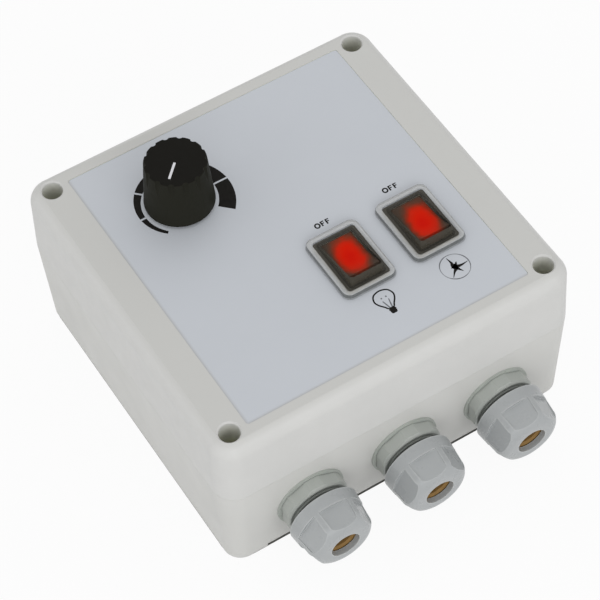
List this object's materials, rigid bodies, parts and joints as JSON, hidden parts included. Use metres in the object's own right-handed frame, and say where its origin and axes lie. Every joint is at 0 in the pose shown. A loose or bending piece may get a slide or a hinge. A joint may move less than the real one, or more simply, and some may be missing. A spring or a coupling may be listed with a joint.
{
  "type": "fan speed and light control box",
  "caption": "Wall-mounted off-white control box with a black speed knob, red rocker switches under clear boots and grey cable glands along one side.",
  "frame": {"origin": "centre of the rear wall face", "axes": "+Z out of the lid, away from the wall; -Y towards the cable glands; +X to the right as the legends read"},
  "size_m": [0.1256, 0.1422, 0.0799],
  "materials": {
    "enclosure": "fine satin",
    "gasket": "matt",
    "steel": "plated",
    "dark_steel": "blackened",
    "brass": "bright",
    "label": "satin print",
    "pot_can": "satin",
    "knob": "satin",
    "pointer": "gloss",
    "switch_black": "satin",
    "rocker_red": "translucent gloss",
    "lamp": "clear",
    "boot": "clear soft gloss",
    "gland": "satin",
    "gland_washer": "matt",
    "seal": "matt",
    "board": "solder mask",
    "terminal": "satin",
    "heat_sink": "extruded",
    "semiconductor": "matt",
    "winding": "enamelled",
    "capacitor": "gloss",
    "fuse": "clear with metal caps",
    "lead_red": "satin",
    "lead_blue": "satin"
  },
  "bodies": {
    "enclosure": {"base_box": "enclosure", "lid": "enclosure", "lid_gasket": "gasket", "lid_screws": "steel", "lid_inserts": "brass", "front_label": "label", "speed_pot": "pot_can", "pot_washer": "steel", "pot_nut": "steel", "control_board": "board", "board_screws": "steel", "terminal_block": "terminal", "terminal_screws": "steel", "heat_sink": "heat_sink", "triac": "semiconductor", "triac_screw": "steel", "choke": "winding", "film_capacitor": "capacitor", "fuse_holder": "semiconductor", "fuse": "fuse", "pot_leads": "lead_red", "light_switch_leads": "lead_blue", "fan_switch_leads": "lead_blue", "light_switch": "switch_black", "light_switch_blades": "steel", "light_switch_boot": "boot", "fan_switch": "switch_black", "fan_switch_blades": "steel", "fan_switch_boot": "boot", "gland_1_body": "gland", "gland_1_washer": "gland_washer", "gland_1_locknut": "gland", "gland_2_body": "gland", "gland_2_washer": "gland_washer", "gland_2_locknut": "gland", "gland_3_body": "gland", "gland_3_washer": "gland_washer", "gland_3_locknut": "gland"},
    "knob": {"knob": "knob", "knob_pointer": "pointer", "knob_insert": "brass", "knob_set_screw": "dark_steel", "pot_shaft": "steel"},
    "light_rocker": {"light_rocker": "rocker_red", "light_rocker_lamp": "lamp"},
    "fan_rocker": {"fan_rocker": "rocker_red", "fan_rocker_lamp": "lamp"},
    "gland_1_seal": {"gland_1_seal": "seal"},
    "gland_1_nut": {"gland_1_nut": "gland"},
    "gland_2_seal": {"gland_2_seal": "seal"},
    "gland_2_nut": {"gland_2_nut": "gland"},
    "gland_3_seal": {"gland_3_seal": "seal"},
    "gland_3_nut": {"gland_3_nut": "gland"}
  },
  "joints": [
    {"name": "knob_turn", "type": "hinge", "parent": "enclosure", "child": "knob", "pos_m": [-0.024, 0.028, 0.07], "axis": [0, 0, 1], "range_deg": [-270, 0]},
    {"name": "light_rocker_tip", "type": "hinge", "parent": "enclosure", "child": "light_rocker", "pos_m": [0.0075, -0.02075, 0.06105], "axis": [1, 0, 0], "range_deg": [0, 21], "deforming": ["light_switch_boot"]},
    {"name": "fan_rocker_tip", "type": "hinge", "parent": "enclosure", "child": "fan_rocker", "pos_m": [0.0325, -0.02075, 0.06105], "axis": [1, 0, 0], "range_deg": [0, 21], "deforming": ["fan_switch_boot"]},
    {"name": "gland_1_press", "type": "slide", "parent": "enclosure", "child": "gland_1_seal", "axis": [0, 0.9986, 0.0523], "range_m": [-0.003, 0.0015]},
    {"name": "gland_1_turn", "type": "hinge", "parent": "gland_1_seal", "child": "gland_1_nut", "pos_m": [-0.0336, -0.08053, 0.01614], "axis": [0, 0.9986, 0.0523], "range_deg": [-720, 360]},
    {"name": "gland_2_press", "type": "slide", "parent": "enclosure", "child": "gland_2_seal", "axis": [0, 0.9986, 0.0523], "range_m": [-0.003, 0.0015]},
    {"name": "gland_2_turn", "type": "hinge", "parent": "gland_2_seal", "child": "gland_2_nut", "pos_m": [0.0002, -0.08053, 0.01614], "axis": [0, 0.9986, 0.0523], "range_deg": [-720, 360]},
    {"name": "gland_3_press", "type": "slide", "parent": "enclosure", "child": "gland_3_seal", "axis": [0, 0.9986, 0.0523], "range_m": [-0.003, 0.0015]},
    {"name": "gland_3_turn", "type": "hinge", "parent": "gland_3_seal", "child": "gland_3_nut", "pos_m": [0.034, -0.08053, 0.01614], "axis": [0, 0.9986, 0.0523], "range_deg": [-720, 360]}
  ],
  "couplings": [
    {"joint": "gland_1_turn", "follows": "gland_1_press", "rad_per_m": 4188.8},
    {"joint": "gland_2_turn", "follows": "gland_2_press", "rad_per_m": 4188.8},
    {"joint": "gland_3_turn", "follows": "gland_3_press", "rad_per_m": 4188.8}
  ]
}
